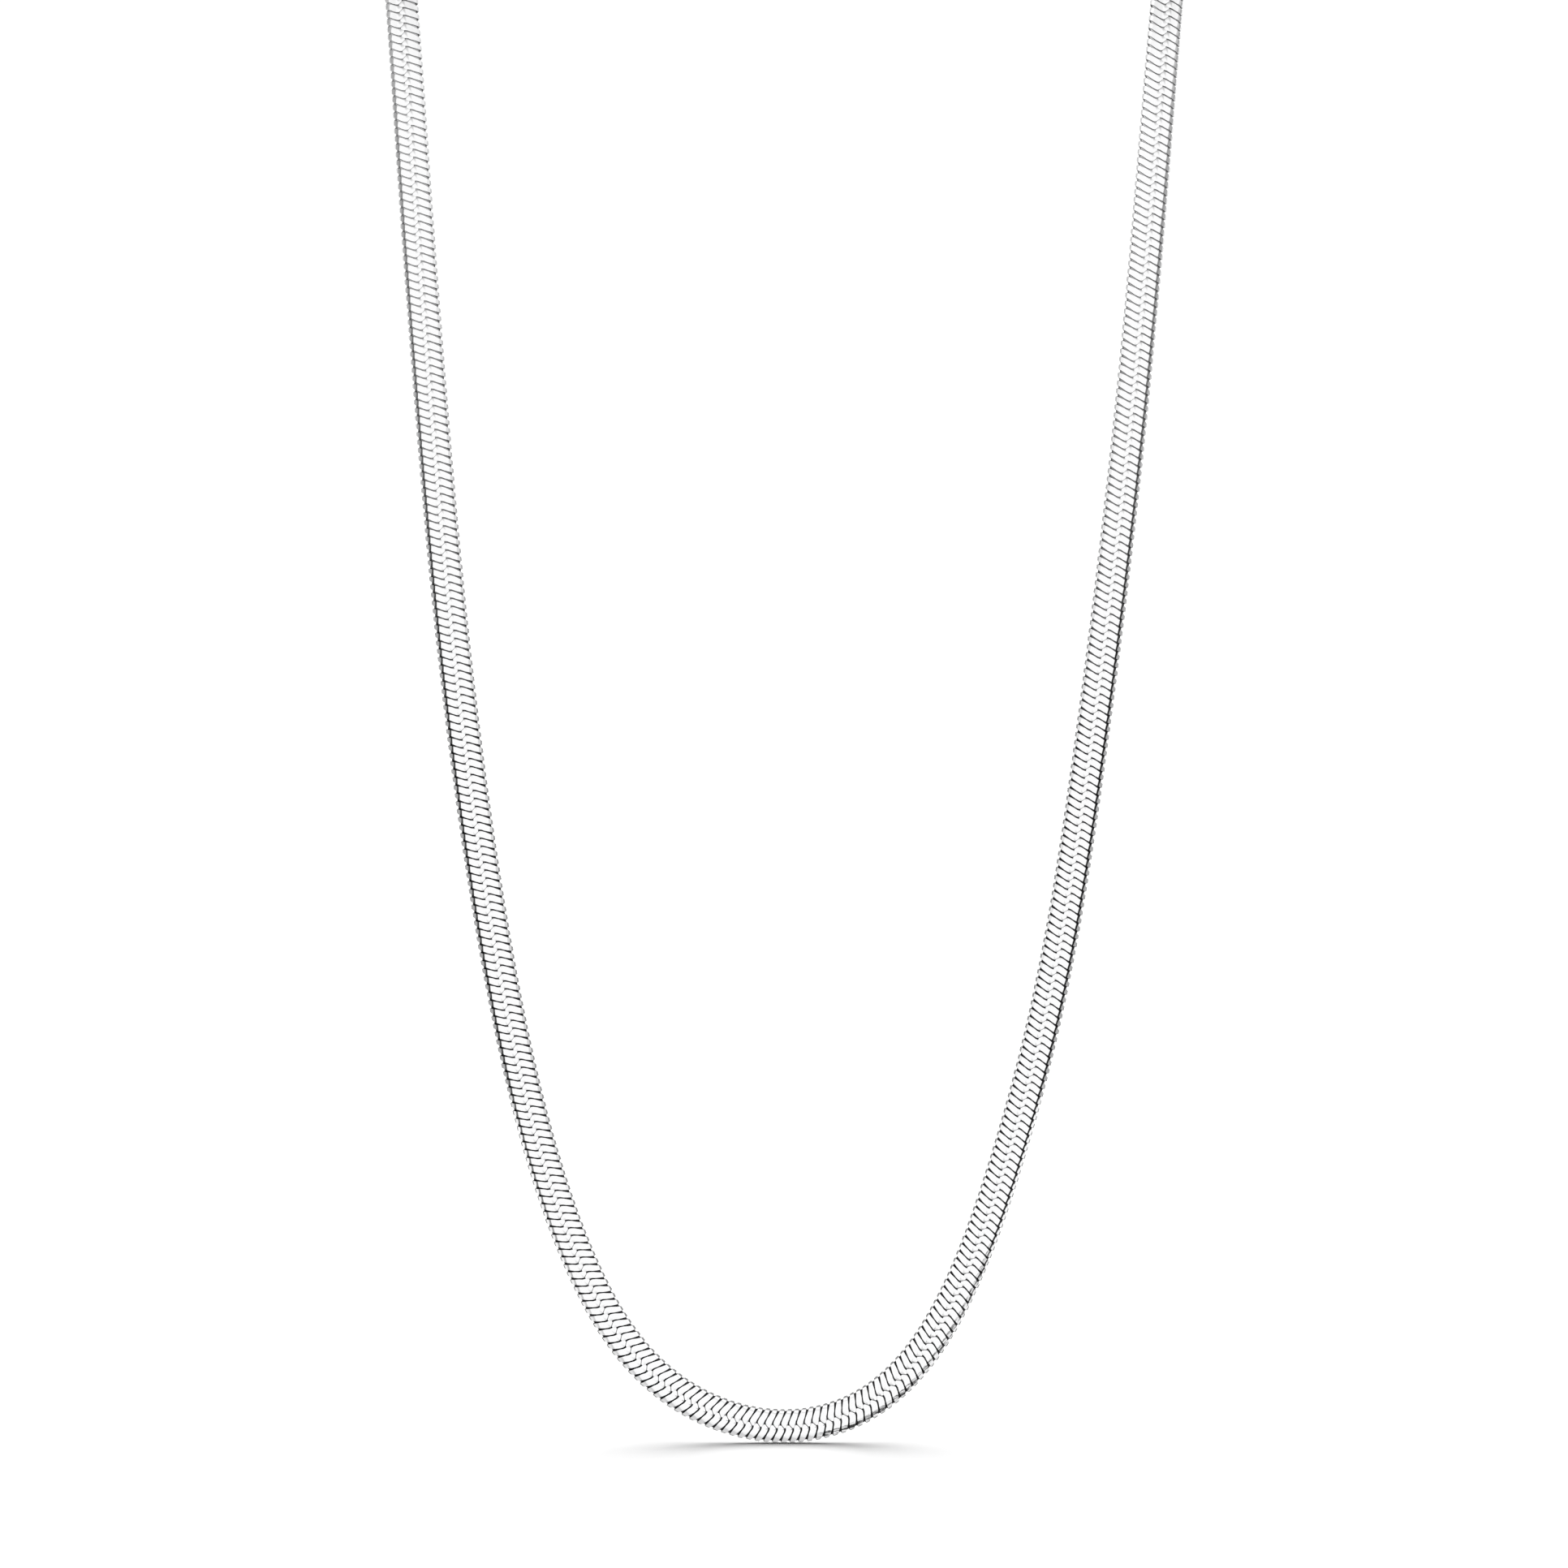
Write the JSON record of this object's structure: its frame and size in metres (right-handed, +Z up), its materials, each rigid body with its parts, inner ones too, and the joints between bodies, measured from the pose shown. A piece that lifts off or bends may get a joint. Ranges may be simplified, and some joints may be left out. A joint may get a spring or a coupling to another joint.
{
  "type": "flat chain necklace",
  "caption": "Flat snake chain necklace in polished silver: interlocking rows of slanted links in one supple band, closed by a plain clasp at the nape.",
  "frame": {"origin": "middle of the clasp's inner face, where it sits against the nape", "axes": "+X to the right seen from the front, +Y to the back, +Z up; the front of the chain hangs at -Y"},
  "size_m": [0.0964, 0.0661, 0.2055],
  "materials": {
    "chain_silver": "high polish, darker in the gaps between links",
    "clasp_silver": "polish with fine handling marks"
  },
  "bodies": {
    "root": {"chain": "chain_silver", "clasp": "clasp_silver"}
  },
  "joints": []
}
